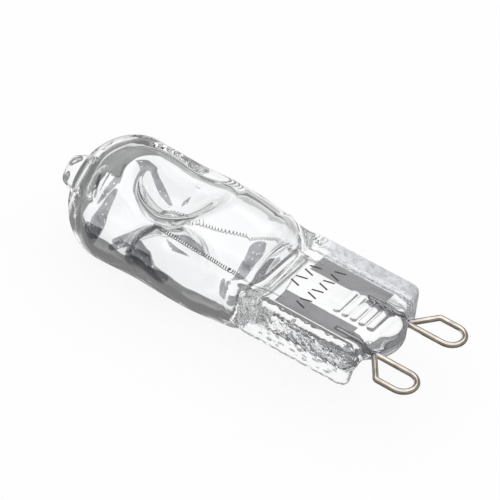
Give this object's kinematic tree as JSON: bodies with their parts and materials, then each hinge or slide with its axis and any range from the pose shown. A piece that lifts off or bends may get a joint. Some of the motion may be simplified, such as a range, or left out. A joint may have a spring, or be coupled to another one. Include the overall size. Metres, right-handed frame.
{
  "type": "halogen capsule bulb",
  "caption": "Clear capsule bulb with wire loop contacts, a flat pressed base with foil seals, a glass tube pinched in from both faces and a coiled filament hung round the pinched neck.",
  "frame": {"origin": "on the tube's axis, at the open end of the pressed base, midway between the contact loops", "axes": "+X along the tube to the exhaust tip, +Y across the pressed base, +Z out of the base's front face"},
  "size_m": [0.0472, 0.0142, 0.0142],
  "materials": {
    "clear_glass": "clear fused silica, bubbly and wavy in the pressed base",
    "tungsten": "dull grey wound wire",
    "contact_wire": "plated wire with a pale warm shine",
    "foil": "matt grey foil"
  },
  "bodies": {
    "root": {"glass_envelope": "clear_glass", "filament": "tungsten", "contact_loop_left": "contact_wire", "contact_loop_right": "contact_wire", "foil_left": "foil", "foil_right": "foil"}
  },
  "joints": []
}
